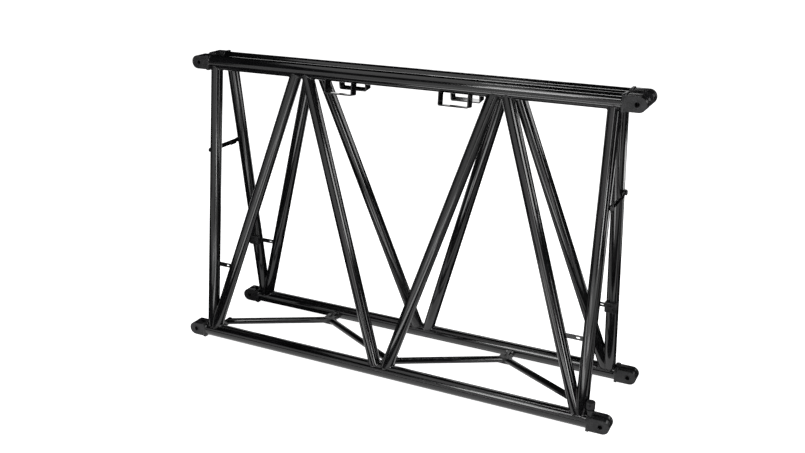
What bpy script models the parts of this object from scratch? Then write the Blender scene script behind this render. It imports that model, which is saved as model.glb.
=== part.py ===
"""A folding truss section: two tubular side frames hinged along their top chords and held apart
by V braces and cross stays. Metres, +Z up, X along the chords. The origin is on the floor, in the
middle of the section. Near is -Y and far is +Y."""

import math

import bmesh
import bpy
from mathutils import Matrix, Vector

# Side frames
PIN_SPAN = 1.500
RISE = 0.954
TOP_SPACING = 0.0832
BOTTOM_SPACING = 0.3344
CHORD_RADIUS = 0.02415
CHORD_WALL = 0.0040
WEB_RADIUS = 0.0200
WEB_WALL = 0.0030
CHORD_SIDES = 28
WEB_SIDES = 20

# Where the web tubes meet the chords, measured each way from the middle of the web
WEB_MIDDLE = -0.003
POST_OUT = 0.687
OUTER_FOOT_OUT = 0.677
OUTER_HEAD_OUT = 0.363
INNER_HEAD_OUT = 0.3294
INNER_FOOT_OUT = 0.0169
WEB_FEET = {"post": POST_OUT, "outer_diagonal": OUTER_FOOT_OUT, "inner_diagonal": INNER_FOOT_OUT}
WEB_HEADS = {"post": POST_OUT, "outer_diagonal": OUTER_HEAD_OUT, "inner_diagonal": INNER_HEAD_OUT}

# End forks
FORK_WIDTH = 0.048
FORK_HALF_HEIGHT = 0.0225
FORK_NOSE = 0.0275
FORK_NOSE_RADIUS = 0.022
NOSE_STEPS = 9
FLANGE_HALF_HEIGHT = 0.025
FLANGE_THICKNESS = 0.009
SLOT_WIDTH = 0.011
SLOT_INBOARD = 0.030
PIN_HOLE_RADIUS = 0.008
SPIGOT_LENGTH = 0.030
ROOT_LENGTH = {-1: 0.0395, 1: 0.0440}

# Carrying handles
HANDLE_OUT = 0.2005
HANDLE_LENGTH = 0.101
HANDLE_DROP = 0.0645
HANDLE_WIDTH = 0.032
HANDLE_BEND = 0.0055
STRAP = 0.004

# Low tie bars
TIE_HEIGHT = 0.250
TIE_BAR_HEIGHT = 0.014
TIE_THICKNESS = 0.006
TIE_EYE_LENGTH = 0.013
TIE_EYE_WIDTH = 0.006
TIE_REACH = 0.092
TIE_EYE_OUT = {-1: 0.059, 1: 0.034}

# Stop blocks on the inside of the far posts
STOP_HEIGHT = 0.257
STOP_HALF_WIDTH = 0.020
STOP_HALF_HEIGHT = 0.018
STOP_CORNER = 0.003
STOP_INNER = 0.012
STOP_OUTER = 0.0275
STOP_BOLT_RADIUS = 0.0075
STOP_BOLT_HEAD = 0.0035

# Top hinges
HINGE_OUT = 0.500
HINGE_DROP = 0.006
BARREL_RADIUS = 0.009
BARREL_LENGTH = 0.022
HINGE_PIN_RADIUS = 0.004
LEAF_THICKNESS = 0.008

# Bottom braces
BRACE_RADIUS = 0.0115
BRACE_WALL = 0.002
BRACE_HALF_SPAN = 0.332
BRACE_MIDDLE = {"left": -0.350, "right": 0.344}
PIVOT_REACH = 0.0412
LEG_END_Y = 0.090
EYE_THICKNESS = 0.010
EYE_RADIUS = 0.010
EYE_FLAT = 0.016
FOOT_BOLT_RADIUS = 0.0045
FOOT_BOLT_HEAD_RADIUS = 0.0085
FOOT_BOLT_HEAD = 0.0045
EAR_THICKNESS = 0.005
EAR_RADIUS = 0.011
EAR_BASE_SINK = 0.007
EAR_BASE_PROUD = 0.0045
EAR_OVERLAP = 0.001
CATCH_BAR_RADIUS = 0.006
CATCH_EAR_RADIUS = 0.010
CATCH_EAR_THICKNESS = 0.006
CATCH_BAR_PROUD = 0.003
HOOK_THICKNESS = 0.012
HOOK_BLOCK = 0.040
HOOK_BLOCK_BACK = 0.0145
HOOK_BLOCK_FRONT = 0.014
HOOK_ROOF = 0.012
HOOK_FLOOR = -0.010
HOOK_TIP = 0.012
HOOK_CHAMFER = 0.004

# Cross stays
STAY_HEIGHT = 0.652
STAY_THICKNESS = 0.004
STAY_HALF_HEIGHT = 0.0075
STAY_FLOOR = -0.010
STAY_ROOF = 0.0105
STAY_NECK = 0.72
STAY_STAND_OFF = 0.0005
STAY_BOLT_RADIUS = 0.004
STAY_STUD_RADIUS = 0.005
STAY_HEAD_RIM = 0.0035
STAY_HEAD = 0.003

# Locking plungers at the right-hand bottom forks: how far they stand in from the pin and out from
# the middle of the fork, the spring housing and neck of the near one, and their knobs
PLUNGER_INBOARD = {-1: 0.0360, 1: 0.0370}
PLUNGER_OUTWARD = {-1: 0.0105, 1: 0.0}
PLUNGER_RADIUS = 0.0035
PLUNGER_SINK = 0.026
PLUNGER_BORE_END = 0.030
HOUSING_RADIUS = 0.0095
HOUSING_HEIGHT = {-1: 0.023, 1: 0.0}
HOUSING_SINK = 0.002
COLLAR_RADIUS = 0.0125
COLLAR_HEIGHT = 0.005
KNOB_LIFT = 0.004
NECK_RADIUS = 0.0095
KNOB_RADIUS = {-1: 0.0135, 1: 0.008}
KNOB_HEIGHT = {-1: 0.022, 1: 0.008}

GAP = 0.0003
BOLT_CLEARANCE = 0.0004

NEAR, FAR = -1, 1
SIDE_NAMES = {NEAR: "near", FAR: "far"}
END_NAMES = {-1: "left", 1: "right"}
BASE = FLANGE_HALF_HEIGHT
HALF_SPAN = PIN_SPAN / 2
TOP_Y = TOP_SPACING / 2
BOTTOM_Y = BOTTOM_SPACING / 2
PIVOT_Y = BOTTOM_Y - PIVOT_REACH
LEAN = math.atan2(BOTTOM_Y - TOP_Y, RISE)
HINGE_Z = BASE + RISE - HINGE_DROP
STAY_Y = TOP_Y + (RISE - STAY_HEIGHT) * math.tan(LEAN)

# Unit vectors of the planes that flat pieces are cut in: along, up and through the plate
FACING_X = (Vector((0, 1, 0)), Vector((0, 0, 1)), Vector((1, 0, 0)))
FACING_Y = (Vector((1, 0, 0)), Vector((0, 0, 1)), Vector((0, -1, 0)))
ALONG_X = Vector((1, 0, 0))

BLACK_GLOSS = ((0.012, 0.012, 0.013), 0.16, 0.0)
BLACK_SATIN = ((0.030, 0.030, 0.032), 0.38, 0.3)
BLACK_STEEL = ((0.045, 0.045, 0.048), 0.30, 0.9)


# --- scene and materials -------------------------------------------------------------------------


def clear_scene():
    for old in list(bpy.data.objects):
        bpy.data.objects.remove(old, do_unlink=True)


def new_collection(name):
    collection = bpy.data.collections.new(name)
    bpy.context.scene.collection.children.link(collection)
    return collection


def paint(obj, finish):
    color, roughness, metallic = finish
    material = bpy.data.materials.new(obj.name)
    material.use_nodes = True
    shader = material.node_tree.nodes["Principled BSDF"]
    shader.inputs["Base Color"].default_value = (*color, 1.0)
    shader.inputs["Roughness"].default_value = roughness
    shader.inputs["Metallic"].default_value = metallic
    material.diffuse_color = (*color, 1.0)
    obj.data.materials.clear()
    obj.data.materials.append(material)


def round_shading(mesh):
    mesh.shade_smooth()
    mesh.set_sharp_from_angle(angle=math.radians(40))


def add_part(name, mesh, finish, pivot=None):
    """A sub-part of the truss. Its pivot is the empty on the axis that it turns or slides on."""
    obj = bpy.data.objects.new(name, mesh)
    PARTS.objects.link(obj)
    round_shading(mesh)
    paint(obj, finish)
    if pivot:
        obj.parent = pivot
        obj.matrix_parent_inverse = Matrix.Translation(-pivot.location)
    return obj


def add_helper(name, mesh):
    """A shape that only cuts or adds to a sub-part."""
    obj = bpy.data.objects.new(name, mesh)
    CUTTERS.objects.link(obj)
    obj.hide_render = True
    obj.display_type = "WIRE"
    return obj


def add_pivot(name, location):
    empty = bpy.data.objects.new(name, None)
    empty.location = location
    PARTS.objects.link(empty)
    return empty


# --- shapes --------------------------------------------------------------------------------------


def mesh_of(fill):
    """A mesh made by the bmesh operators in fill."""
    shape = bmesh.new()
    fill(shape)
    bmesh.ops.recalc_face_normals(shape, faces=shape.faces)
    mesh = bpy.data.meshes.new("shape")
    shape.to_mesh(mesh)
    shape.free()
    return mesh


def rod_mesh(radius, length, sides, capped=True):
    def fill(shape):
        bmesh.ops.create_cone(
            shape, cap_ends=capped, segments=sides, radius1=radius, radius2=radius, depth=length
        )

    return mesh_of(fill)


def box_mesh(size):
    def fill(shape):
        bmesh.ops.create_cube(shape, size=1.0, matrix=Matrix.Diagonal((*size, 1.0)))

    return mesh_of(fill)


def plate_mesh(outline, thickness):
    """A flat outline, extruded by half the thickness each way."""
    curve = bpy.data.curves.new("outline", "CURVE")
    curve.dimensions = "2D"
    curve.fill_mode = "BOTH"
    curve.extrude = thickness / 2
    spline = curve.splines.new("POLY")
    spline.points.add(len(outline) - 1)
    for point, (u, v) in zip(spline.points, outline):
        point.co = (u, v, 0, 1)
    spline.use_cyclic_u = True
    guide = bpy.data.objects.new("outline", curve)
    bpy.context.scene.collection.objects.link(guide)
    bpy.context.view_layer.update()
    flat = bpy.data.meshes.new_from_object(
        guide.evaluated_get(bpy.context.evaluated_depsgraph_get())
    )
    bpy.data.objects.remove(guide, do_unlink=True)

    def fill(shape):
        shape.from_mesh(flat)
        bmesh.ops.remove_doubles(shape, verts=shape.verts, dist=1e-6)

    return mesh_of(fill)


def arc(centre, radius, start, end, steps):
    """Points of an arc, with its start and end in degrees."""
    points = []
    for step in range(steps + 1):
        angle = math.radians(start + (end - start) * step / steps)
        points.append((centre[0] + radius * math.cos(angle), centre[1] + radius * math.sin(angle)))
    return points


def turn_to(obj, location, axes):
    """Puts an object at a location, with its own x, y and z along the three axes."""
    obj.location = location
    obj.rotation_mode = "QUATERNION"
    obj.rotation_quaternion = Matrix(axes).transposed().to_quaternion()
    return obj


def stand_between(obj, start, end):
    """Puts an object with its own z along the line from start to end."""
    obj.location = (start + end) / 2
    obj.rotation_mode = "QUATERNION"
    obj.rotation_quaternion = (end - start).to_track_quat("Z", "Y")
    return obj


def cut(obj, *cutters):
    for cutter in cutters:
        modifier = obj.modifiers.new("cut by " + cutter.name, "BOOLEAN")
        modifier.object = cutter
        modifier.operation = "DIFFERENCE"


def join(obj, *others):
    for other in others:
        modifier = obj.modifiers.new("with " + other.name, "BOOLEAN")
        modifier.object = other
        modifier.operation = "UNION"


def tube(name, start, end, radius, wall, sides, finish, pivot=None):
    """A hollow tube with open ends."""
    mesh = rod_mesh(radius, (end - start).length, sides, capped=False)
    obj = stand_between(add_part(name, mesh, finish, pivot), start, end)
    shell = obj.modifiers.new("wall", "SOLIDIFY")
    shell.thickness = wall
    shell.offset = -1
    return obj


def rod_helper(name, start, end, radius, sides):
    return stand_between(add_helper(name, rod_mesh(radius, (end - start).length, sides)), start, end)


def box_helper(name, low, high):
    low, high = Vector(low), Vector(high)
    obj = add_helper(name, box_mesh(high - low))
    obj.location = (low + high) / 2
    return obj


# --- the frame's layout --------------------------------------------------------------------------


def chord_point(side, x, top):
    y = TOP_Y if top else BOTTOM_Y
    return Vector((x, side * y, BASE + (RISE if top else 0)))


def frame_axes(side):
    """Along the chords, up the frame, and out of its plane, for pieces that lie in the frame."""
    up = Vector((0, -side * math.sin(LEAN), math.cos(LEAN)))
    return ALONG_X, up, ALONG_X.cross(up)


def in_frame(side, x, height, inward):
    """The point at this x and height above the bottom chord, off the frame towards the other one."""
    _, up, through = frame_axes(side)
    return chord_point(side, x, False) + up * (height / math.cos(LEAN)) + through * side * inward


# --- side frames ---------------------------------------------------------------------------------


def chord_cutter(side, top):
    name = f"{SIDE_NAMES[side]}_{'top' if top else 'bottom'}_cope"
    start = chord_point(side, -HALF_SPAN, top)
    end = chord_point(side, HALF_SPAN, top)
    return rod_helper(name, start, end, CHORD_RADIUS + GAP, CHORD_SIDES)


def make_chord(side, top, pivot):
    name = f"{SIDE_NAMES[side]}_{'top' if top else 'bottom'}_chord"
    start = chord_point(side, -HALF_SPAN + ROOT_LENGTH[-1] + GAP, top)
    end = chord_point(side, HALF_SPAN - ROOT_LENGTH[1] - GAP, top)
    tube(name, start, end, CHORD_RADIUS, CHORD_WALL, CHORD_SIDES, BLACK_GLOSS, pivot)


def web_ends(side, foot, head):
    return chord_point(side, WEB_MIDDLE + foot, False), chord_point(side, WEB_MIDDLE + head, True)


def web_cutter(side, end, kind):
    foot, head = WEB_FEET[kind], WEB_HEADS[kind]
    start, stop = web_ends(side, end * foot, end * head)
    name = f"{SIDE_NAMES[side]}_{END_NAMES[end]}_{kind}_cope"
    return rod_helper(name, start, stop, WEB_RADIUS + GAP, WEB_SIDES)


def add_stop_block(end, post):
    """A block saddled on the inside of a far post, which keeps the folded frames apart, with the
    head of its bolt."""
    name = post.name + "_stop"
    x = WEB_MIDDLE + end * POST_OUT
    u, v = STOP_HALF_WIDTH - STOP_CORNER, STOP_HALF_HEIGHT - STOP_CORNER
    outline = (
        arc((u, v), STOP_CORNER, 0, 90, 3)
        + arc((-u, v), STOP_CORNER, 90, 180, 3)
        + arc((-u, -v), STOP_CORNER, 180, 270, 3)
        + arc((u, -v), STOP_CORNER, 270, 360, 3)
    )
    block = add_helper(name, plate_mesh(outline, STOP_OUTER - STOP_INNER))
    middle = in_frame(FAR, x, STOP_HEIGHT, (STOP_OUTER + STOP_INNER) / 2)
    turn_to(block, middle, frame_axes(FAR))
    head_low = in_frame(FAR, x, STOP_HEIGHT, STOP_OUTER - GAP)
    head_high = in_frame(FAR, x, STOP_HEIGHT, STOP_OUTER + STOP_BOLT_HEAD)
    join(block, rod_helper(name + "_bolt", head_low, head_high, STOP_BOLT_RADIUS, 6))
    foot, top = web_ends(FAR, end * POST_OUT, end * POST_OUT)
    cut(block, rod_helper(name + "_seat", foot, top, WEB_RADIUS - WEB_WALL / 2, WEB_SIDES))
    join(post, block)


def make_webs(side, pivot):
    for end in (-1, 1):
        for kind, foot in WEB_FEET.items():
            start, stop = web_ends(side, end * foot, end * WEB_HEADS[kind])
            name = f"{SIDE_NAMES[side]}_{END_NAMES[end]}_{kind}"
            web = tube(name, start, stop, WEB_RADIUS, WEB_WALL, WEB_SIDES, BLACK_GLOSS, pivot)
            cut(web, COPES[side, False], COPES[side, True])
            if kind == "outer_diagonal":
                cut(web, WEB_COPES[side, end, "post"])
            if kind == "post" and side == FAR:
                add_stop_block(end, web)


def fork_outline(root):
    """The side view of a fork: flange, straight cheeks and a rounded nose, from its pin hole."""
    flange_end = -root + FLANGE_THICKNESS
    corner = FORK_NOSE - FORK_NOSE_RADIUS
    level = FORK_HALF_HEIGHT - FORK_NOSE_RADIUS
    return (
        [(-root, -FLANGE_HALF_HEIGHT), (flange_end, -FLANGE_HALF_HEIGHT)]
        + [(flange_end, -FORK_HALF_HEIGHT)]
        + arc((corner, -level), FORK_NOSE_RADIUS, -90, 0, NOSE_STEPS)
        + arc((corner, level), FORK_NOSE_RADIUS, 0, 90, NOSE_STEPS)
        + [(flange_end, FORK_HALF_HEIGHT)]
        + [(flange_end, FLANGE_HALF_HEIGHT), (-root, FLANGE_HALF_HEIGHT)]
    )


def make_fork(side, top, end, pivot):
    name = f"{SIDE_NAMES[side]}_{'top' if top else 'bottom'}_{END_NAMES[end]}_fork"
    root = ROOT_LENGTH[end]
    hole = chord_point(side, end * HALF_SPAN, top)
    out = Vector((end, 0, 0))
    up = Vector((0, 0, 1))
    across = Vector((0, 1, 0))
    fork = add_part(name, plate_mesh(fork_outline(root), FORK_WIDTH), BLACK_SATIN, pivot)
    turn_to(fork, hole, (out, up, out.cross(up)))
    spigot_start = hole - out * (root + SPIGOT_LENGTH)
    spigot_radius = CHORD_RADIUS - CHORD_WALL - 2 * GAP
    spigot_end = hole - out * (root - FLANGE_THICKNESS / 2)
    join(fork, rod_helper(name + "_spigot", spigot_start, spigot_end, spigot_radius, 20))
    mouth = hole + out * (FORK_NOSE + 0.01)
    heel = hole - out * SLOT_INBOARD
    reach = across * SLOT_WIDTH / 2 + up * FORK_HALF_HEIGHT * 2
    low = Vector(map(min, mouth, heel)) - reach
    high = Vector(map(max, mouth, heel)) + reach
    pin_reach = across * FORK_WIDTH
    pin_hole = rod_helper(name + "_pin_hole", hole - pin_reach, hole + pin_reach, PIN_HOLE_RADIUS, 20)
    cut(fork, box_helper(name + "_slot", low, high), pin_hole)
    return fork, hole


def make_handle(side, end, pivot):
    """A U-shaped strap that hangs from the top chord, in the plane of the frame."""
    name = f"{SIDE_NAMES[side]}_{END_NAMES[end]}_handle"
    half = HANDLE_LENGTH / 2
    inner = half - STRAP
    bend = HANDLE_BEND
    left = (-half + bend, -HANDLE_DROP + bend)
    right = (half - bend, -HANDLE_DROP + bend)
    outline = (
        [(-half, 0), *arc(left, bend, 180, 270, 4), *arc(right, bend, 270, 360, 4), (half, 0)]
        + [(inner, 0), *arc(right, bend - STRAP, 0, -90, 4)]
        + [*arc(left, bend - STRAP, 270, 180, 4), (-inner, 0)]
    )
    centre = chord_point(side, WEB_MIDDLE + end * HANDLE_OUT, True)
    handle = add_part(name, plate_mesh(outline, HANDLE_WIDTH), BLACK_GLOSS, pivot)
    turn_to(handle, centre, frame_axes(side))
    cut(handle, COPES[side, True])


def make_tie_bar(side, end, pivot):
    """A flat bar with an eye, in the plane of the frame between the end post and the diagonal."""
    name = f"{SIDE_NAMES[side]}_{END_NAMES[end]}_tie_bar"
    half_bar = TIE_BAR_HEIGHT / 2
    centre = in_frame(side, WEB_MIDDLE + end * POST_OUT, TIE_HEIGHT, 0)
    inboard = Vector((-end, 0, 0))
    _, up, _ = frame_axes(side)
    axes = (inboard, up, inboard.cross(up))
    outline = [(0, -half_bar), (TIE_REACH, -half_bar), (TIE_REACH, half_bar), (0, half_bar)]
    bar = add_part(name, plate_mesh(outline, TIE_THICKNESS), BLACK_GLOSS, pivot)
    turn_to(bar, centre, axes)
    half_slot = (TIE_EYE_LENGTH - TIE_EYE_WIDTH) / 2
    eye = TIE_EYE_OUT[end]
    slot = arc((eye - half_slot, 0), TIE_EYE_WIDTH / 2, 90, 270, 8)
    slot += arc((eye + half_slot, 0), TIE_EYE_WIDTH / 2, -90, 90, 8)
    eye_cutter = add_helper(name + "_eye", plate_mesh(slot, 3 * TIE_THICKNESS))
    turn_to(eye_cutter, centre, axes)
    cut(bar, WEB_COPES[side, end, "post"], WEB_COPES[side, end, "outer_diagonal"], eye_cutter)


def make_side_frame(side, pivot):
    for top in (False, True):
        make_chord(side, top, pivot)
        for end in (-1, 1):
            fork, hole = make_fork(side, top, end, pivot)
            if end == 1 and not top:
                make_plunger(side, fork, hole)
    make_webs(side, pivot)
    for end in (-1, 1):
        make_handle(side, end, pivot)
        make_tie_bar(side, end, pivot)


# --- locking plungers ----------------------------------------------------------------------------


def make_plunger(side, fork, hole):
    """A sprung plunger in the root of a bottom fork: the near one has a housing and a large knob."""
    name = SIDE_NAMES[side] + "_plunger"
    up = Vector((0, 0, 1))
    foot = hole + Vector((-PLUNGER_INBOARD[side], side * PLUNGER_OUTWARD[side], 0))
    top = foot + up * FORK_HALF_HEIGHT
    rim = top + up * HOUSING_HEIGHT[side]
    if side == NEAR:
        housing = rod_helper(name + "_housing", top - up * HOUSING_SINK, rim, HOUSING_RADIUS, 24)
        chord_end = hole - ALONG_X * ROOT_LENGTH[1]
        chord_start = chord_end - ALONG_X * SPIGOT_LENGTH
        chord_radius = CHORD_RADIUS + GAP
        cut(housing, rod_helper(name + "_room", chord_start, chord_end, chord_radius, CHORD_SIDES))
        collar_low = rim - up * COLLAR_HEIGHT
        join(fork, housing, rod_helper(name + "_collar", collar_low, rim, COLLAR_RADIUS, 24))
    bore_radius = PLUNGER_RADIUS + BOLT_CLEARANCE
    bore_low = top - up * PLUNGER_BORE_END
    cut(fork, rod_helper(name + "_bore", bore_low, rim + up * KNOB_LIFT, bore_radius, 16))
    stem_low = top - up * PLUNGER_SINK
    knob_low = rim + up * KNOB_LIFT
    knob_high = knob_low + up * KNOB_HEIGHT[side]
    stem_high = (knob_low + knob_high) / 2
    pivot = add_pivot(name + "_axis", stem_low)
    stem_mesh = rod_mesh(PLUNGER_RADIUS, (stem_high - stem_low).length, 16)
    plunger = stand_between(add_part(name, stem_mesh, BLACK_STEEL, pivot), stem_low, stem_high)
    if side == NEAR:
        neck_low = rim + up * 2 * GAP
        join(plunger, rod_helper(name + "_neck", neck_low, stem_high, NECK_RADIUS, 24))
    join(plunger, rod_helper(name + "_knob", knob_low, knob_high, KNOB_RADIUS[side], 24))


# --- top hinges ----------------------------------------------------------------------------------


def make_leaf(name, side, x, pivot):
    """A hinge barrel on a flat arm that is welded to the inside of a top chord."""
    centre = Vector((x, 0, HINGE_Z))
    arm_end = side * (TOP_Y - CHORD_RADIUS + 0.004)
    half = BARREL_LENGTH / 2
    along = ALONG_X * half
    barrel = add_part(name, rod_mesh(BARREL_RADIUS, BARREL_LENGTH, 20), BLACK_STEEL, pivot)
    stand_between(barrel, centre - along, centre + along)
    low = (x - half, min(0, arm_end), HINGE_Z - LEAF_THICKNESS / 2)
    high = (x + half, max(0, arm_end), HINGE_Z + LEAF_THICKNESS / 2)
    join(barrel, box_helper(name + "_arm", low, high))
    reach = ALONG_X * BARREL_LENGTH
    bore_radius = HINGE_PIN_RADIUS + BOLT_CLEARANCE
    bore = rod_helper(name + "_bore", centre - reach, centre + reach, bore_radius, 16)
    cut(barrel, bore, COPES[side, True])


def make_bolt(name, start, end, radius, head_radius, head, pivot=None, finish=BLACK_STEEL):
    """A bolt with a hexagon head outside its start, and a nut outside its end."""
    out = (end - start).normalized() * head
    shank_start = start - out / 2
    shank_end = end + out * 1.3
    bolt = add_part(name, rod_mesh(radius, (shank_end - shank_start).length, 16), finish, pivot)
    stand_between(bolt, shank_start, shank_end)
    join(
        bolt,
        rod_helper(name + "_head", start - out, start, head_radius, 6),
        rod_helper(name + "_nut", end, end + out, head_radius, 6),
    )


def make_hinge(end, far_pivot):
    name = f"{END_NAMES[end]}_hinge"
    x = WEB_MIDDLE + end * HINGE_OUT
    offset = (BARREL_LENGTH + GAP) / 2
    make_leaf(name + "_near_leaf", NEAR, x - offset, None)
    make_leaf(name + "_far_leaf", FAR, x + offset, far_pivot)
    centre = Vector((x, 0, HINGE_Z))
    reach = ALONG_X * (BARREL_LENGTH + 0.0025)
    pin_head = BARREL_RADIUS * 0.75
    make_bolt(name + "_pin", centre - reach, centre + reach, HINGE_PIN_RADIUS, pin_head, 0.004)


# --- bottom braces -------------------------------------------------------------------------------


def foot_x(brace, end):
    return BRACE_MIDDLE[brace] + end * BRACE_HALF_SPAN


def hook_block(brace, name, grow):
    """The block between the legs of a brace, or the seat that it needs in them."""
    half = HOOK_BLOCK / 2 + grow
    height = BRACE_RADIUS + grow
    low = (BRACE_MIDDLE[brace] - half, LEG_END_Y - HOOK_BLOCK_BACK - grow, BASE - height)
    high = (BRACE_MIDDLE[brace] + half, LEG_END_Y + HOOK_BLOCK_FRONT + grow, BASE + height)
    return box_helper(name, low, high)


def make_leg(brace, end, pivot):
    """A brace leg: a tube with a flat eye at its foot."""
    name = f"{brace}_brace_{END_NAMES[end]}_leg"
    eye = Vector((foot_x(brace, end), -PIVOT_Y, BASE))
    foot = Vector((eye.x, -LEG_END_Y, BASE))
    apex = Vector((BRACE_MIDDLE[brace], LEG_END_Y, BASE))
    leg = tube(name, foot, apex, BRACE_RADIUS, BRACE_WALL, 16, BLACK_GLOSS, pivot)
    neck = -LEG_END_Y + PIVOT_Y + EYE_FLAT
    outline = arc((0, 0), EYE_RADIUS, 90, 270, 10) + [(neck, -EYE_RADIUS), (neck, EYE_RADIUS)]
    eye_plate = add_helper(name + "_eye", plate_mesh(outline, EYE_THICKNESS))
    turn_to(eye_plate, eye, FACING_X)
    join(leg, eye_plate)
    reach = ALONG_X * EYE_THICKNESS
    hole_radius = FOOT_BOLT_RADIUS + BOLT_CLEARANCE
    hole = rod_helper(name + "_hole", eye - reach, eye + reach, hole_radius, 16)
    cut(leg, hole, hook_block(brace, name + "_seat", GAP))


def hook_mouth(reach, notch, floor):
    """The outline of a hook's mouth, round a bar at this reach, from its heel to its far side."""
    slope_y, slope_z = notch * math.cos(math.radians(135)), notch * math.sin(math.radians(135))
    heel = (reach + slope_y - (slope_z - floor), floor)
    return [heel, *arc((reach, 0), notch, 135, 0, 8), (reach + notch, floor)]


def make_hook(brace, pivot):
    """The apex of a brace: a block between its legs, and a hook that drops over the catch bar."""
    name = f"{brace}_brace_hook"
    centre = Vector((BRACE_MIDDLE[brace], PIVOT_Y, BASE))
    back = LEG_END_Y - PIVOT_Y
    outline = (
        [(back, HOOK_ROOF), (back, HOOK_FLOOR)]
        + hook_mouth(0, CATCH_BAR_RADIUS + BOLT_CLEARANCE, HOOK_FLOOR)
        + [(HOOK_TIP, HOOK_FLOOR), (HOOK_TIP, HOOK_ROOF - HOOK_CHAMFER)]
        + [(HOOK_TIP - HOOK_CHAMFER, HOOK_ROOF)]
    )
    hook = add_part(name, plate_mesh(outline, HOOK_THICKNESS), BLACK_SATIN, pivot)
    turn_to(hook, centre, FACING_X)
    join(hook, hook_block(brace, name + "_block", 0))


def make_ears(name, side, faces, radius, hole_radius, pivot):
    """Ears on a base that is welded to the inside of a bottom chord. The faces are the x of each
    ear's two sides."""
    y = side * PIVOT_Y
    weld_y = side * (BOTTOM_Y - CHORD_RADIUS + EAR_BASE_SINK)
    base_y = side * (BOTTOM_Y - CHORD_RADIUS - EAR_BASE_PROUD)
    start, end = min(min(faces)), max(max(faces))
    low = Vector((start, min(weld_y, base_y), BASE - radius))
    high = Vector((end, max(weld_y, base_y), BASE + radius))
    base = add_part(name, box_mesh(high - low), BLACK_GLOSS, pivot)
    base.location = (low + high) / 2
    reach = side * (base_y - y) + EAR_OVERLAP
    outline = [(reach, radius), *arc((0, 0), radius, 90, 270, 10), (reach, -radius)]
    outward = Vector((0, side, 0))
    up = Vector((0, 0, 1))
    for number, (near_face, far_face) in enumerate(faces):
        ear = add_helper(f"{name}_ear_{number}", plate_mesh(outline, far_face - near_face))
        middle = Vector(((near_face + far_face) / 2, y, BASE))
        turn_to(ear, middle, (outward, up, outward.cross(up)))
        join(base, ear)
    if hole_radius:
        bore_start = Vector((start - EAR_THICKNESS, y, BASE))
        bore_end = Vector((end + EAR_THICKNESS, y, BASE))
        cut(base, rod_helper(name + "_bore", bore_start, bore_end, hole_radius, 16))
    cut(base, COPES[side, False])
    return base


def make_foot_lug(name, eyes):
    """Ears each side of every brace eye at these x, with one bolt through them."""
    faces = []
    inner = EYE_THICKNESS / 2 + GAP
    faces.append((eyes[0] - inner - EAR_THICKNESS, eyes[0] - inner))
    for left, right in zip(eyes, eyes[1:]):
        faces.append((left + inner, right - inner))
    faces.append((eyes[-1] + inner, eyes[-1] + inner + EAR_THICKNESS))
    hole = FOOT_BOLT_RADIUS + BOLT_CLEARANCE
    make_ears(name + "_foot_lug", NEAR, faces, EAR_RADIUS, hole, None)
    start = Vector((faces[0][0] - GAP, -PIVOT_Y, BASE))
    end = Vector((faces[-1][1] + GAP, -PIVOT_Y, BASE))
    head_radius, head = FOOT_BOLT_HEAD_RADIUS, FOOT_BOLT_HEAD
    make_bolt(name + "_foot_bolt", start, end, FOOT_BOLT_RADIUS, head_radius, head)


def make_catch(brace, pivot):
    """Two ears on the far bottom chord, with the bar that the brace hook drops over."""
    x = BRACE_MIDDLE[brace]
    inner = HOOK_THICKNESS / 2 + 2 * GAP
    outer = inner + CATCH_EAR_THICKNESS
    faces = [(x - outer, x - inner), (x + inner, x + outer)]
    catch = make_ears(f"{brace}_brace_catch", FAR, faces, CATCH_EAR_RADIUS, None, pivot)
    start = Vector((x - outer - CATCH_BAR_PROUD, PIVOT_Y, BASE))
    end = Vector((x + outer + CATCH_BAR_PROUD, PIVOT_Y, BASE))
    join(catch, rod_helper(f"{brace}_brace_catch_bar", start, end, CATCH_BAR_RADIUS, 20))


def make_brace(brace, far_pivot):
    pivot = add_pivot(f"{brace}_brace_axis", Vector((BRACE_MIDDLE[brace], -PIVOT_Y, BASE)))
    for end in (-1, 1):
        make_leg(brace, end, pivot)
    make_hook(brace, pivot)
    make_catch(brace, far_pivot)


# --- cross stays ---------------------------------------------------------------------------------


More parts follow.
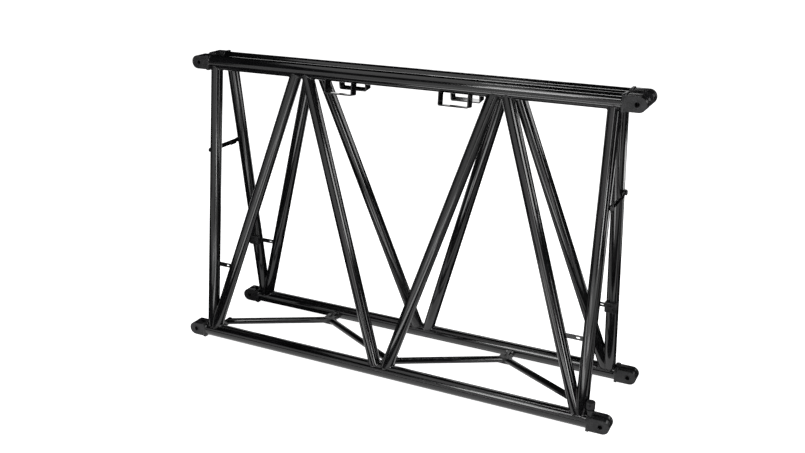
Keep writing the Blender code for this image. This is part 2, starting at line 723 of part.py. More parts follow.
def make_stay(end, far_pivot):
    """A flat bar that turns on a bolt on the near post and hooks over a stud on the far one."""
    name = f"{END_NAMES[end]}_stay"
    post_x = WEB_MIDDLE + end * POST_OUT
    face = post_x + end * (WEB_RADIUS + STAY_STAND_OFF)
    z = BASE + STAY_HEIGHT
    pivot_point = Vector((face + end * STAY_THICKNESS / 2, -STAY_Y, z))
    pivot = add_pivot(name + "_axis", pivot_point)
    length = 2 * STAY_Y
    half = STAY_HALF_HEIGHT
    neck = length * STAY_NECK
    outline = (
        arc((0, 0), half, 90, 270, 10)
        + [(neck, -half), (neck + half + STAY_FLOOR, STAY_FLOOR)]
        + hook_mouth(length, STAY_STUD_RADIUS + BOLT_CLEARANCE, STAY_FLOOR)
        + [(length + STAY_ROOF, STAY_FLOOR)]
        + arc((length, 0), STAY_ROOF, 0, 90, 6)
        + [(length - 2 * STAY_ROOF, half)]
    )
    stay = add_part(name, plate_mesh(outline, STAY_THICKNESS), BLACK_GLOSS, pivot)
    turn_to(stay, pivot_point, FACING_X)
    reach = ALONG_X * STAY_THICKNESS
    hole_radius = STAY_BOLT_RADIUS + BOLT_CLEARANCE
    cut(stay, rod_helper(name + "_hole", pivot_point - reach, pivot_point + reach, hole_radius, 16))
    outer = face + end * (STAY_THICKNESS + GAP)
    for fixing, side, radius, parent in (
        ("bolt", NEAR, STAY_BOLT_RADIUS, None),
        ("stud", FAR, STAY_STUD_RADIUS, far_pivot),
    ):
        root = Vector((post_x, side * STAY_Y, z))
        head = Vector((outer, side * STAY_Y, z))
        tip = head + Vector((end * STAY_HEAD, 0, 0))
        mesh = rod_mesh(radius, (tip - root).length, 16)
        fastener = add_part(f"{name}_{fixing}", mesh, BLACK_STEEL, parent)
        stand_between(fastener, root, tip)
        join(fastener, rod_helper(f"{name}_{fixing}_head", head, tip, radius + STAY_HEAD_RIM, 12))
        cut(fastener, WEB_COPES[side, end, "post"])


# --- assembly ------------------------------------------------------------------------------------

clear_scene()
PARTS = new_collection("folding_truss_section")
CUTTERS = new_collection("cutters")
CUTTERS.hide_render = True

COPES = {(side, top): chord_cutter(side, top) for side in (NEAR, FAR) for top in (False, True)}
WEB_COPES = {
    (side, end, kind): web_cutter(side, end, kind)
    for side in (NEAR, FAR)
    for end in (-1, 1)
    for kind in ("post", "outer_diagonal")
}
fold_axis = add_pivot("fold_axis", Vector((0, 0, HINGE_Z)))
make_side_frame(NEAR, None)
make_side_frame(FAR, fold_axis)
for end in (-1, 1):
    make_hinge(end, fold_axis)
    make_stay(end, fold_axis)
for brace in BRACE_MIDDLE:
    make_brace(brace, fold_axis)
make_foot_lug("left", [foot_x("left", -1)])
make_foot_lug("middle", [foot_x("left", 1), foot_x("right", -1)])
make_foot_lug("right", [foot_x("right", 1)])
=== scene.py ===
"""Looks of the folding truss section: smooth tubes with weld beads, bevelled forks and fittings, bolts
and bushes, in gloss black powder coat, satin black and black steel. Metres, +Z up, in the CAD's frame."""

import math

import bmesh
import bpy
from mathutils import Matrix, Vector


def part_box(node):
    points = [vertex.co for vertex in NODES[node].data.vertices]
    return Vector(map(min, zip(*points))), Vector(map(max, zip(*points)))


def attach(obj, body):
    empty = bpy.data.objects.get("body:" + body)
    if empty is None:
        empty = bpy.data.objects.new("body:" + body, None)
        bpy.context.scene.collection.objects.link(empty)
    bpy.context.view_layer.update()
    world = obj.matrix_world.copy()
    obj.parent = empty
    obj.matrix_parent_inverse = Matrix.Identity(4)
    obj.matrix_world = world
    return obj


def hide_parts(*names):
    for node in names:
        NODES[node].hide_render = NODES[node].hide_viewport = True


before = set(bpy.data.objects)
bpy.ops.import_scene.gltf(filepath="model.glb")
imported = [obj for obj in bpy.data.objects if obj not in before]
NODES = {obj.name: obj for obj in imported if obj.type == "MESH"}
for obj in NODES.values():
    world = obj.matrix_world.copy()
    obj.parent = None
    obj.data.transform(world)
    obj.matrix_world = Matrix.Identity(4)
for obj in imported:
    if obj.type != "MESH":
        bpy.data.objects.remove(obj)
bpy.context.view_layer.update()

# Layout of the web tubes, as in the CAD: x of foot and head each way from the middle of the web
WEB_MIDDLE = -0.003
WEBS = {"post": (0.687, 0.687), "outer_diagonal": (0.677, 0.363), "inner_diagonal": (0.0169, 0.3294)}
WEB_RADIUS = 0.020
WEB_WALL = 0.003
CHORD_WALL = 0.004

# Forks, as in the CAD: pin hole, slot, nose beyond the pin, half width over the cheeks, and flange
PIN_HOLE_RADIUS = 0.008
SLOT_HALF = 0.0055
FORK_NOSE = 0.0275
FORK_HALF_WIDTH = 0.024
FLANGE = 0.009

# Collars over the flanges: how far they stand out at the sides and from the chord's end, their height,
# the lift that keeps them off the floor, and their rounding
COLLAR_PROUD = 0.0008
COLLAR_OUT = 0.0006
COLLAR_TALL = 0.0504
COLLAR_LIFT = 0.0002
COLLAR_EDGE = 0.0012

# Bushes in the pin holes: width of the lip on the cheek, wall inside the hole, and grip in the cheek
BUSH_LIP = 0.0022
BUSH_WALL = 0.0009
BUSH_GRIP = 0.0002

# Stop blocks on the inside of the far posts: height up the post, size, offset of their two faces and
# rounding, and the size of their bolts
STOP_HEIGHT = 0.257
STOP_WIDTH = 0.040
STOP_TALL = 0.036
STOP_INNER = 0.012
STOP_OUTER = 0.0275
STOP_EDGE = 0.0025
STOP_BOLT_RADIUS = 0.0072
STOP_BOLT_TALL = 0.0045

# Fluted grips round the knobs of the plungers: height of each, how far they stand out from the knob
# and stop below its top, number of flutes and ridges, and depth of a flute
NEAR_GRIP = 0.022
FAR_GRIP = 0.008
GRIP_PROUD = 0.0002
GRIP_BELOW = 0.0012
GRIP_STEPS = 72
GRIP_FLUTE = 0.0005

# Weld beads: radius, length of one ripple, and spacing and sides of the rings that they are made of.
# The beads at the chord ends are thinner, and sunk into the chord.
WELD_RADIUS = 0.0027
WELD_PITCH = 0.0034
WELD_STEP = 0.00085
WELD_SIDES = 8
CHORD_END_WELD_RADIUS = 0.0022
CHORD_END_WELD_SINK = 0.0015

# How finely round shapes are drawn: sides round a tube, rings along it, steps round a turned shape, and
# points round the end of a chord
TUBE_SIDES = 72
CHORD_ROWS = 24
WEB_ROWS = 16
TURNED_STEPS = 48
CIRCLE_POINTS = 96

# In degrees: edges past the first stay sharp in shading, CAD edges past the second are rounded, and
# CAD faces that differ by less than the third are joined. CAD points this close are one point.
SHARP_ANGLE = 38
ROUNDED_ANGLE = 40
FLAT_ANGLE = 0.5
MERGE_DISTANCE = 2e-6

# How far the edges of each kind of fitting are rounded
FORK_EDGE = 0.0014
HOOK_EDGE = 0.0010
LUG_EDGE = 0.0008
HANDLE_EDGE = 0.0007
KNOB_EDGE = 0.0007
STRAP_EDGE = 0.0006
SMALL_EDGE = 0.0005

SIDES = ("near", "far")
ENDS = {"left": -1, "right": 1}
ALONG = Vector((1, 0, 0))
ACROSS = Vector((0, 1, 0))
UP = Vector((0, 0, 1))
WORLD_AXES = (ALONG, ACROSS, UP)


# --- materials -----------------------------------------------------------------------------------


def new_material(name):
    material = bpy.data.materials.new(name)
    material.use_nodes = True
    nodes = material.node_tree.nodes
    return material, nodes, material.node_tree.links, nodes["Principled BSDF"]


def noise_of(nodes, links, scale, detail=3.0, stretch=None):
    """A noise pattern in the piece's own metres."""
    place = nodes.new("ShaderNodeTexCoord")
    noise = nodes.new("ShaderNodeTexNoise")
    noise.inputs["Scale"].default_value = scale
    noise.inputs["Detail"].default_value = detail
    if stretch:
        mapping = nodes.new("ShaderNodeMapping")
        mapping.inputs["Scale"].default_value = stretch
        links.new(place.outputs["Object"], mapping.inputs["Vector"])
        links.new(mapping.outputs["Vector"], noise.inputs["Vector"])
    else:
        links.new(place.outputs["Object"], noise.inputs["Vector"])
    return noise.outputs["Fac"]


def ramp(nodes, links, value, low, high, start=0.3, end=0.7):
    """Turns a pattern into a range of greys or colours."""
    node = nodes.new("ShaderNodeValToRGB")
    first, last = node.color_ramp.elements
    first.position, last.position = start, end
    first.color = (*low, 1)
    last.color = (*high, 1)
    links.new(value, node.inputs["Fac"])
    return node.outputs["Color"]


def spread(nodes, links, value, low, high):
    """Turns a pattern into a range of plain numbers."""
    node = nodes.new("ShaderNodeMapRange")
    node.inputs["From Min"].default_value = 0.3
    node.inputs["From Max"].default_value = 0.7
    node.inputs["To Min"].default_value = low
    node.inputs["To Max"].default_value = high
    links.new(value, node.inputs["Value"])
    return node.outputs["Result"]


def bump(nodes, links, shader, layers):
    """Stacks bump patterns, each a value, a strength and a depth in metres."""
    normal = None
    for value, strength, depth in layers:
        node = nodes.new("ShaderNodeBump")
        node.inputs["Strength"].default_value = strength
        node.inputs["Distance"].default_value = depth
        links.new(value, node.inputs["Height"])
        if normal:
            links.new(normal, node.inputs["Normal"])
        normal = node.outputs["Normal"]
    links.new(normal, shader.inputs["Normal"])


def gloss_black():
    """Gloss powder coat: near black, with a faint orange peel and cloudy gloss."""
    material, nodes, links, shader = new_material("gloss_black_powder_coat")
    cloud = noise_of(nodes, links, 9.0)
    fine = noise_of(nodes, links, 900.0, 2.0)
    peel = noise_of(nodes, links, 260.0, 1.5)
    links.new(
        ramp(nodes, links, cloud, (0.0015, 0.0015, 0.0017), (0.004, 0.004, 0.0044)),
        shader.inputs["Base Color"],
    )
    links.new(spread(nodes, links, cloud, 0.10, 0.15), shader.inputs["Roughness"])
    shader.inputs["Coat Weight"].default_value = 0.6
    shader.inputs["Coat Roughness"].default_value = 0.06
    shader.inputs["IOR"].default_value = 1.5
    bump(nodes, links, shader, [(peel, 0.10, 0.0003), (fine, 0.05, 0.0001)])
    return material


def satin_black():
    """Satin black on the machined forks: a fine grain, and slightly rubbed patches."""
    material, nodes, links, shader = new_material("satin_black_finish")
    cloud = noise_of(nodes, links, 40.0, 4.0)
    grain = noise_of(nodes, links, 1400.0, 2.0)
    mill = noise_of(nodes, links, 60.0, 2.0, (1.0, 1.0, 14.0))
    links.new(
        ramp(nodes, links, cloud, (0.006, 0.006, 0.0065), (0.018, 0.018, 0.019)),
        shader.inputs["Base Color"],
    )
    links.new(spread(nodes, links, cloud, 0.20, 0.32), shader.inputs["Roughness"])
    shader.inputs["Metallic"].default_value = 0.25
    bump(nodes, links, shader, [(mill, 0.08, 0.0003), (grain, 0.10, 0.0001)])
    return material


def black_steel():
    """Black oxide on bolts, pins and bushes."""
    material, nodes, links, shader = new_material("black_oxide_steel")
    cloud = noise_of(nodes, links, 120.0, 4.0)
    grain = noise_of(nodes, links, 2200.0, 2.0)
    links.new(
        ramp(nodes, links, cloud, (0.020, 0.020, 0.022), (0.065, 0.064, 0.066)),
        shader.inputs["Base Color"],
    )
    links.new(spread(nodes, links, cloud, 0.24, 0.42), shader.inputs["Roughness"])
    shader.inputs["Metallic"].default_value = 0.85
    bump(nodes, links, shader, [(grain, 0.08, 0.0001)])
    return material


def pale_floor():
    material, nodes, links, shader = new_material("pale_floor")
    cloud = noise_of(nodes, links, 1.5, 4.0)
    links.new(
        ramp(nodes, links, cloud, (0.86, 0.86, 0.86), (0.88, 0.88, 0.88)),
        shader.inputs["Base Color"],
    )
    shader.inputs["Roughness"].default_value = 0.9
    shader.inputs["Specular IOR Level"].default_value = 0.1
    shader.inputs["Emission Color"].default_value = (1, 1, 1, 1)
    shader.inputs["Emission Strength"].default_value = 0.95
    return material


GLOSS = gloss_black()
SATIN = satin_black()
STEEL = black_steel()


# --- pieces --------------------------------------------------------------------------------------


def add_piece(name, mesh, material, body, *replaced):
    """A visible piece, whose mesh is already in the frame's metres."""
    obj = bpy.data.objects.new(name, mesh)
    bpy.context.scene.collection.objects.link(obj)
    mesh.materials.clear()
    mesh.materials.append(material)
    mesh.shade_smooth()
    mesh.set_sharp_from_angle(angle=math.radians(SHARP_ANGLE))
    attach(obj, body)
    if replaced:
        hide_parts(*replaced)
    return obj


def mesh_from(name, shape):
    bmesh.ops.recalc_face_normals(shape, faces=shape.faces)
    mesh = bpy.data.meshes.new(name)
    shape.to_mesh(mesh)
    shape.free()
    return mesh


def add_grid(shape, rings, closed_along=False):
    """Joins rings of points into a surface. Each ring is a closed loop of the same number of points."""
    rows = [[shape.verts.new(point) for point in ring] for ring in rings]
    pairs = list(zip(rows, rows[1:]))
    if closed_along:
        pairs.append((rows[-1], rows[0]))
    for first, second in pairs:
        count = len(first)
        for i in range(count):
            j = (i + 1) % count
            shape.faces.new((first[i], first[j], second[j], second[i]))


def axes_across(direction):
    side = direction.orthogonal().normalized()
    return side, direction.cross(side).normalized()


def add_lathe(shape, profile, origin, axis, steps=TURNED_STEPS, flute=0.0):
    """A turned shape. The profile is a closed loop of distances along the axis and radii. Flutes
    this deep make every second step a groove."""
    axis = axis.normalized()
    side, other = axes_across(axis)
    rings = []
    for step in range(steps):
        angle = 2 * math.pi * step / steps
        out = side * math.cos(angle) + other * math.sin(angle)
        sink = flute * (step % 2)
        rings.append([origin + axis * along + out * (radius - sink) for along, radius in profile])
    add_grid(shape, rings, closed_along=True)


def add_box(shape, centre, axes, size, edge):
    """A box with rounded edges, along the three axes given."""
    turn = Matrix(axes).transposed().to_4x4()
    place = Matrix.Translation(centre) @ turn @ Matrix.Diagonal((*size, 1.0))
    made = bmesh.ops.create_cube(shape, size=1.0, matrix=place)
    edges = list({side for vert in made["verts"] for side in vert.link_edges})
    bmesh.ops.bevel(
        shape, geom=edges, offset=edge, segments=3, profile=0.5, affect="EDGES", clamp_overlap=True
    )


def add_hex_bolt(shape, seat, axis, radius, height):
    """A chamfered hexagon head on a washer."""
    washer = [
        (-0.0005, 0.001),
        (-0.0005, radius + 0.0015),
        (0.0009, radius + 0.0015),
        (0.0012, radius + 0.0012),
        (0.0012, 0.001),
    ]
    add_lathe(shape, washer, seat, axis)
    head = [(0.001, 0.001), (0.001, radius), (height - 0.0007, radius), (height, radius - 0.0010)]
    head += [(height, 0.001)]
    add_lathe(shape, head, seat, axis, 6)


# --- tubes and their welds -----------------------------------------------------------------------


def meets(origin, direction, cylinder):
    """Where a line enters and leaves a cylinder given by a point, a unit axis and a radius."""
    point, axis, radius = cylinder
    apart = origin - point
    across = direction - axis * direction.dot(axis)
    offset = apart - axis * apart.dot(axis)
    a = across.length_squared
    b = 2 * across.dot(offset)
    c = offset.length_squared - radius * radius
    room = b * b - 4 * a * c
    if a < 1e-12 or room < 0:
        return None
    root = math.sqrt(room)
    return (-b - root) / (2 * a), (-b + root) / (2 * a)


def coped_loop(start, end, radius, trims, at_end):
    """The edge of a tube where it runs into the trimming cylinders."""
    direction = (end - start).normalized()
    length = (end - start).length
    side, other = axes_across(direction)
    loop = []
    for step in range(TUBE_SIDES):
        angle = 2 * math.pi * step / TUBE_SIDES
        origin = start + (side * math.cos(angle) + other * math.sin(angle)) * radius
        cut = length if at_end else 0.0
        for trim in trims:
            hit = meets(origin, direction, trim)
            if hit and at_end:
                cut = min(cut, hit[0])
            elif hit:
                cut = max(cut, hit[1])
        loop.append(origin + direction * cut)
    return loop


def add_tube(shape, start, end, radius, wall, rows, low_trims=(), high_trims=()):
    """A hollow tube, coped to the cylinders that trim its two ends. Returns its two outer edges."""
    low = coped_loop(start, end, radius, low_trims, False)
    high = coped_loop(start, end, radius, high_trims, True)
    inner_low = coped_loop(start, end, radius - wall, low_trims, False)
    inner_high = coped_loop(start, end, radius - wall, high_trims, True)
    rings = [inner_low]
    for row in range(rows + 1):
        share = row / rows
        rings.append([a.lerp(b, share) for a, b in zip(low, high)])
    rings.append(inner_high)
    add_grid(shape, rings, closed_along=True)
    return low, high


def even_steps(loop, step):
    """The same closed path with evenly spaced points."""
    lengths = [(b - a).length for a, b in zip(loop, loop[1:] + loop[:1])]
    total = sum(lengths)
    count = max(24, round(total / step))
    points = []
    index, passed = 0, 0.0
    for number in range(count):
        target = total * number / count
        while passed + lengths[index] < target:
            passed += lengths[index]
            index += 1
        share = (target - passed) / max(lengths[index], 1e-9)
        points.append(loop[index].lerp(loop[(index + 1) % len(loop)], share))
    return points, total


def add_bead(shape, loop, radius=WELD_RADIUS):
    """A weld bead along a closed path, with the ripples of its runs."""
    points, total = even_steps(loop, WELD_STEP)
    count = len(points)
    ripples = max(6, round(total / WELD_PITCH))
    middle = sum(points, Vector()) / count
    rings = []
    for number, point in enumerate(points):
        along = (points[(number + 1) % count] - points[number - 1]).normalized()
        out = point - middle
        out = (out - along * out.dot(along)).normalized()
        up = along.cross(out)
        phase = (number / count * ripples) % 1.0
        swell = radius * (0.90 + 0.14 * math.sqrt(1 - (2 * phase - 1) ** 2))
        ring = []
        for side in range(WELD_SIDES):
            angle = 2 * math.pi * side / WELD_SIDES
            ring.append(point + (out * math.cos(angle) + up * math.sin(angle)) * swell)
        rings.append(ring)
    add_grid(shape, rings, closed_along=True)


def circle_loop(centre, axis, radius):
    side, other = axes_across(axis)
    loop = []
    for step in range(CIRCLE_POINTS):
        angle = 2 * math.pi * step / CIRCLE_POINTS
        loop.append(centre + (side * math.cos(angle) + other * math.sin(angle)) * radius)
    return loop


def chord_of(side, level):
    """Start, end and radius of a chord, read from the frame."""
    low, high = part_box(f"{side}_{level}_chord")
    middle = (low + high) / 2
    radius = (high.z - low.z) / 2
    return Vector((low.x, middle.y, middle.z)), Vector((high.x, middle.y, middle.z)), radius


def make_side_tubes(side):
    body = f"{side}_frame"
    welds = bmesh.new()
    chords = {level: chord_of(side, level) for level in ("top", "bottom")}
    trims = {}
    for level, (start, end, radius) in chords.items():
        shape = bmesh.new()
        add_tube(shape, start, end, radius, CHORD_WALL, CHORD_ROWS)
        name = f"{side}_{level}_chord"
        add_piece(name + "_tube", mesh_from(name, shape), GLOSS, body, name)
        trims[level] = (start, ALONG, radius)
        for end_point in (start, end):
            ring = circle_loop(end_point, ALONG, radius - CHORD_END_WELD_SINK)
            add_bead(welds, ring, CHORD_END_WELD_RADIUS)
    for end, sign in ENDS.items():
        post_trim = None
        for kind, (foot, head) in WEBS.items():
            name = f"{side}_{end}_{kind}"
            low = chords["bottom"][0].copy()
            high = chords["top"][0].copy()
            low.x = WEB_MIDDLE + sign * foot
            high.x = WEB_MIDDLE + sign * head
            low_trims = [trims["bottom"]]
            if kind == "outer_diagonal":
                low_trims.append(post_trim)
            shape = bmesh.new()
            edges = add_tube(
                shape, low, high, WEB_RADIUS, WEB_WALL, WEB_ROWS, low_trims, [trims["top"]]
            )
            add_piece(name + "_tube", mesh_from(name, shape), GLOSS, body, name)
            for edge in edges:
                add_bead(welds, edge)
            if kind == "post":
                post_trim = (low, (high - low).normalized(), WEB_RADIUS)
    add_piece(f"{side}_frame_welds", mesh_from("welds", welds), GLOSS, body)


# --- plates, forks and fittings refined from the frame -------------------------------------------


def finished(node, material, body, edge):
    """The CAD shape with its edges rounded."""
    shape = bmesh.new()
    shape.from_mesh(NODES[node].data)
    bmesh.ops.remove_doubles(shape, verts=shape.verts, dist=MERGE_DISTANCE)
    bmesh.ops.dissolve_limit(
        shape, angle_limit=math.radians(FLAT_ANGLE), verts=shape.verts, edges=shape.edges
    )
    obj = add_piece(node + "_finished", mesh_from(node, shape), material, body, node)
    bevel = obj.modifiers.new("rounded edges", "BEVEL")
    bevel.width = edge
    bevel.segments = 3
    bevel.limit_method = "ANGLE"
    bevel.angle_limit = math.radians(ROUNDED_ANGLE)
    bevel.harden_normals = True


def make_forks(side):
    body = f"{side}_frame"
    bushes = bmesh.new()
    collars = bmesh.new()
    for level in ("top", "bottom"):
        chord_low, chord_high, _ = chord_of(side, level)
        for end, sign in ENDS.items():
            node = f"{side}_{level}_{end}_fork"
            finished(node, SATIN, body, FORK_EDGE)
            low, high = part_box(node)
            nose = high.x if sign > 0 else low.x
            root = chord_high.x if sign > 0 else chord_low.x
            centre = Vector((nose - sign * FORK_NOSE, chord_low.y, chord_low.z))
            half = FORK_HALF_WIDTH
            outer = half + COLLAR_PROUD
            collar_x = root + sign * (FLANGE / 2 + COLLAR_OUT)
            collar = Vector((collar_x, chord_low.y, chord_low.z + COLLAR_LIFT))
            add_box(collars, collar, WORLD_AXES, (FLANGE, 2 * outer, COLLAR_TALL), COLLAR_EDGE)
            for face in (-1, 1):
                inner = SLOT_HALF
                lip = PIN_HOLE_RADIUS + BUSH_LIP
                bore = PIN_HOLE_RADIUS - BUSH_WALL
                profile = [
                    (inner, bore),
                    (inner, PIN_HOLE_RADIUS + BUSH_GRIP),
                    (half - 0.0004, PIN_HOLE_RADIUS + BUSH_GRIP),
                    (half - 0.0004, lip - 0.0004),
                    (half, lip),
                    (outer - 0.0002, lip),
                    (outer, lip - 0.0004),
                    (outer, bore + 0.0005),
                    (outer - 0.0005, bore),
                ]
                add_lathe(bushes, profile, centre, ACROSS * face)
    add_piece(f"{side}_fork_bushes", mesh_from("bushes", bushes), STEEL, body)
    add_piece(f"{side}_fork_collars", mesh_from("collars", collars), SATIN, body)


def make_stop_blocks():
    """The blocks bolted on the inside of the far posts, and their bolts."""
    low, high = chord_of("far", "bottom")[0], chord_of("far", "top")[0]
    up = Vector((0, high.y - low.y, high.z - low.z)).normalized()
    inward = ALONG.cross(up)
    blocks, bolts = bmesh.new(), bmesh.new()
    for sign in ENDS.values():
        post = Vector((WEB_MIDDLE + sign * WEBS["post"][0], low.y, low.z))
        seat = post + up * (STOP_HEIGHT / up.z) + inward * STOP_OUTER
        middle = seat - inward * (STOP_OUTER - STOP_INNER) / 2
        size = (STOP_WIDTH, STOP_TALL, STOP_OUTER - STOP_INNER)
        add_box(blocks, middle, (ALONG, up, inward), size, STOP_EDGE)
        add_hex_bolt(bolts, seat, inward, STOP_BOLT_RADIUS, STOP_BOLT_TALL)
    add_piece("far_stop_blocks", mesh_from("blocks", blocks), SATIN, "far_frame")
    add_piece("far_stop_bolts", mesh_from("bolts", bolts), STEEL, "far_frame")


def make_grip(side, height):
    """The fluted grip round the knob of a plunger."""
    low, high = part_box(f"{side}_plunger")
    radius = (high.x - low.x) / 2 + GRIP_PROUD
    seat = Vector(((low.x + high.x) / 2, (low.y + high.y) / 2, high.z - height))
    top = height - GRIP_BELOW
    profile = [(0.001, radius - 0.002), (0.001, radius - 0.0004), (0.0016, radius)]
    profile += [(top - 0.0006, radius), (top, radius - 0.0004), (top, radius - 0.002)]
    shape = bmesh.new()
    add_lathe(shape, profile, seat, UP, GRIP_STEPS, GRIP_FLUTE)
    add_piece(f"{side}_plunger_grip", mesh_from("grip", shape), STEEL, f"{side}_plunger")


# The fittings at each end of the section: node, finish, body and rounding
END_FITTINGS = (
    ("{end}_hinge_near_leaf", STEEL, "near_frame", STRAP_EDGE),
    ("{end}_hinge_pin", STEEL, "near_frame", SMALL_EDGE),
    ("{end}_hinge_far_leaf", STEEL, "far_frame", STRAP_EDGE),
    ("{end}_stay", GLOSS, "{end}_stay", SMALL_EDGE),
    ("{end}_stay_bolt", STEEL, "near_frame", SMALL_EDGE),
    ("{end}_stay_stud", STEEL, "far_frame", SMALL_EDGE),
    ("{end}_brace_catch", GLOSS, "far_frame", LUG_EDGE),
    ("{end}_brace_hook", SATIN, "{end}_brace", HOOK_EDGE),
    ("{end}_brace_left_leg", GLOSS, "{end}_brace", STRAP_EDGE),
    ("{end}_brace_right_leg", GLOSS, "{end}_brace", STRAP_EDGE),
)


def make_fittings():
    for side in SIDES:
        body = f"{side}_frame"
        make_forks(side)
        for end in ENDS:
            finished(f"{side}_{end}_handle", GLOSS, body, HANDLE_EDGE)
            finished(f"{side}_{end}_tie_bar", GLOSS, body, STRAP_EDGE)
        finished(f"{side}_plunger", STEEL, f"{side}_plunger", KNOB_EDGE)
    make_grip("near", NEAR_GRIP)
    make_grip("far", FAR_GRIP)
    make_stop_blocks()
    for end in ENDS:
        for node, material, body, edge in END_FITTINGS:
            finished(node.format(end=end), material, body.format(end=end), edge)
    for place in ("left", "middle", "right"):
        finished(f"{place}_foot_lug", GLOSS, "near_frame", LUG_EDGE)
        finished(f"{place}_foot_bolt", STEEL, "near_frame", SMALL_EDGE)


# --- studio --------------------------------------------------------------------------------------

# The camera's place, its turn down and round in degrees, and its lens on a sensor 36 mm wide
CAMERA_PLACE = (1.3065, -2.6329, 1.548)
CAMERA_DOWN = 19.96
CAMERA_ROUND = 26.46
CAMERA_LENS = 42.03
SENSOR_WIDTH = 36.0


def make_camera():
    data = bpy.data.cameras.new("camera")
    data.lens = CAMERA_LENS
    data.sensor_width = SENSOR_WIDTH
    camera = bpy.data.objects.new("camera", data)
    camera.location = CAMERA_PLACE
    camera.rotation_euler = (math.radians(90 - CAMERA_DOWN), 0, math.radians(CAMERA_ROUND))
    bpy.context.scene.collection.objects.link(camera)
    bpy.context.scene.camera = camera


# The floor's half size and how far it lies below the part, and the room's light and reflection
FLOOR_HALF = 30.0
FLOOR_SINK = 0.0005
ROOM_DIFFUSE = (0.30, 0.30, 0.30)
ROOM_GLOSSY = (0.001, 0.001, 0.001)

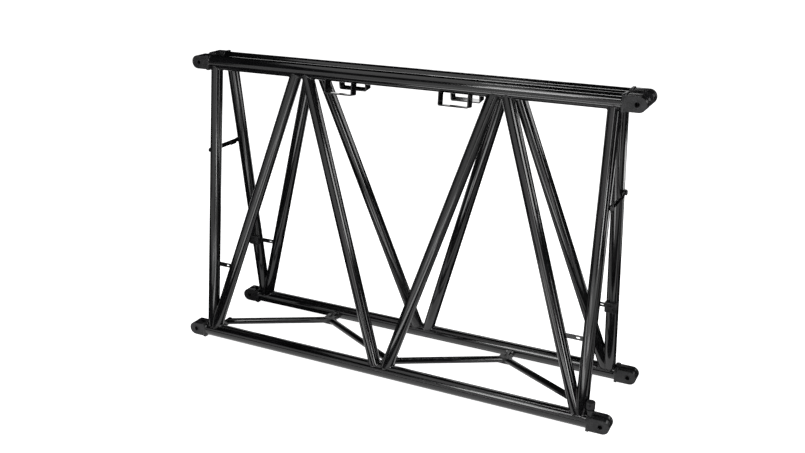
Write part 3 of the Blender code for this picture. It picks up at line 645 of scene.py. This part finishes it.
# Name, place, aim, width and height, and brightness of each soft box. The ones named floor lie flat,
# face up, and stand for the floor's own reflection in the gloss. The rear ones light the back views.
SOFTBOXES = [
    ("floor_left", (-2.5, -2.7, 0.002), (-2.5, -2.7, 1.0), (2.6, 2.0), 0.65),
    ("floor_centre", (-0.3, -2.45, 0.002), (-0.3, -2.45, 1.0), (1.8, 2.3), 1.1),
    ("floor_right", (1.8, -2.4, 0.002), (1.8, -2.4, 1.0), (2.4, 1.6), 1.0),
    ("floor_spot", (0.8, -1.4, 0.004), (0.8, -1.4, 1.0), (0.6, 0.4), 3.5),
    ("floor_stripe", (0.1, -0.8, 0.004), (0.1, -0.8, 1.0), (1.3, 0.3), 2.5),
    ("floor_line", (-0.1, -2.2, 0.004), (-0.1, -2.2, 1.0), (0.9, 0.2), 4.0),
    ("floor_middle", (1.3, -0.90, 0.002), (1.3, -0.90, 1.0), (3.4, 0.60), 0.65),
    ("floor_near_chord", (0.6, -0.24, 0.002), (0.6, -0.24, 1.0), (3.0, 0.14), 0.8),
    ("floor_between", (-0.1, -0.04, 0.002), (-0.1, -0.04, 1.0), (1.3, 0.18), 0.6),
    ("floor_far_chord", (0.9, 0.10, 0.002), (0.9, 0.10, 1.0), (2.6, 0.10), 0.8),
    ("floor_far", (1.9, 1.0, 0.002), (1.9, 1.0, 1.0), (0.7, 1.0), 1.0),
    ("floor_back", (2.6, 1.1, 0.002), (2.6, 1.1, 1.0), (0.7, 0.9), 5.0),
    ("floor_behind", (2.2, 2.1, 0.002), (2.2, 2.1, 1.0), (1.2, 1.0), 2.0),
    ("front_wall", (-1.3, -3.9, 1.0), (-1.3, 0.0, 1.0), (4.2, 2.0), 0.65),
    ("front_right_box", (1.3, -3.6, 0.8), (1.3, 0.0, 0.8), (0.7, 0.8), 2.5),
    ("corner_box", (2.8, -3.5, 0.25), (0.0, 0.0, 0.6), (0.7, 0.6), 9.0),
    ("front_key", (-0.85, -3.6, 2.6), (0.0, 0.0, 0.6), (0.8, 0.9), 8.0),
    ("front_second_key", (0.4, -3.6, 2.55), (0.0, 0.0, 0.5), (0.8, 0.4), 5.0),
    ("overhead_key", (-0.2, -2.9, 3.2), (0.1, 0.0, 0.5), (1.7, 0.6), 6.0),
    ("overhead_sheet", (-1.2, -0.9, 3.4), (-1.2, -0.9, 0.0), (1.6, 2.8), 0.75),
    ("top_strip", (0.25, -0.25, 3.2), (0.25, -0.25, 0.0), (1.6, 0.14), 10.0),
    ("left_wall", (-3.9, -2.8, 0.8), (0.0, -2.8, 0.8), (1.2, 1.4), 0.6),
    ("right_front_box", (3.0, -2.5, 1.75), (0.0, -1.5, 1.0), (1.7, 0.8), 5.5),
    ("right_strip", (3.0, 0.45, 1.6), (0.0, 0.45, 1.6), (0.5, 1.2), 5.0),
    ("right_back_box", (3.0, 1.5, 1.6), (0.0, 1.5, 1.6), (0.7, 1.3), 5.0),
    ("right_low_strip", (3.0, -0.65, 0.5), (0.0, -0.65, 0.5), (0.3, 0.7), 5.0),
    ("back_softbox", (2.4, 2.9, 1.5), (2.4, 0.0, 1.5), (0.9, 0.9), 3.0),
    ("rear_floor", (-0.9, 2.2, 0.002), (-0.9, 2.2, 1.0), (2.2, 2.0), 1.0),
    ("rear_wall", (-1.5, 3.6, 1.2), (0.0, 0.0, 0.6), (3.0, 1.6), 0.8),
    ("rear_key", (-1.0, 3.3, 2.4), (0.0, 0.0, 0.5), (1.0, 0.4), 2.5),
    ("left_rear_box", (-3.2, 1.2, 1.0), (0.0, 0.0, 0.5), (1.4, 1.6), 0.7),
    ("left_rear_floor", (-2.6, 0.9, 0.002), (-2.6, 0.9, 1.0), (1.2, 1.2), 0.6),
]


def add_light(name, place, aim, size, radiance):
    data = bpy.data.lights.new(name, "AREA")
    data.shape = "RECTANGLE"
    data.size, data.size_y = size
    data.energy = radiance * math.pi * size[0] * size[1]
    light = bpy.data.objects.new(name, data)
    light.location = place
    light.rotation_mode = "QUATERNION"
    light.rotation_quaternion = (Vector(aim) - Vector(place)).to_track_quat("-Z", "Y")
    light.visible_camera = False
    bpy.context.scene.collection.objects.link(light)


def make_world():
    """White to the camera, a dark room to reflections, and a soft grey to everything else."""
    world = bpy.data.worlds.new("studio")
    bpy.context.scene.world = world
    world.use_nodes = True
    nodes, links = world.node_tree.nodes, world.node_tree.links
    background = nodes["Background"]
    path = nodes.new("ShaderNodeLightPath")
    room = nodes.new("ShaderNodeMix")
    room.data_type = "RGBA"
    room.inputs["A"].default_value = (*ROOM_DIFFUSE, 1)
    room.inputs["B"].default_value = (*ROOM_GLOSSY, 1)
    links.new(path.outputs["Is Glossy Ray"], room.inputs["Factor"])
    shown = nodes.new("ShaderNodeMix")
    shown.data_type = "RGBA"
    shown.inputs["B"].default_value = (1, 1, 1, 1)
    links.new(path.outputs["Is Camera Ray"], shown.inputs["Factor"])
    links.new(room.outputs["Result"], shown.inputs["A"])
    links.new(shown.outputs["Result"], background.inputs["Color"])
    background.inputs["Strength"].default_value = 1.0


def make_studio():
    shape = bmesh.new()
    bmesh.ops.create_grid(shape, x_segments=8, y_segments=8, size=FLOOR_HALF)
    floor = bpy.data.objects.new("floor", mesh_from("floor", shape))
    floor.location.z = -FLOOR_SINK
    floor.data.materials.append(pale_floor())
    floor.visible_glossy = False
    bpy.context.scene.collection.objects.link(floor)
    make_world()
    for softbox in SOFTBOXES:
        add_light(*softbox)
    bpy.context.scene.view_settings.view_transform = "Standard"


make_camera()
for side in SIDES:
    make_side_tubes(side)
make_fittings()
make_studio()
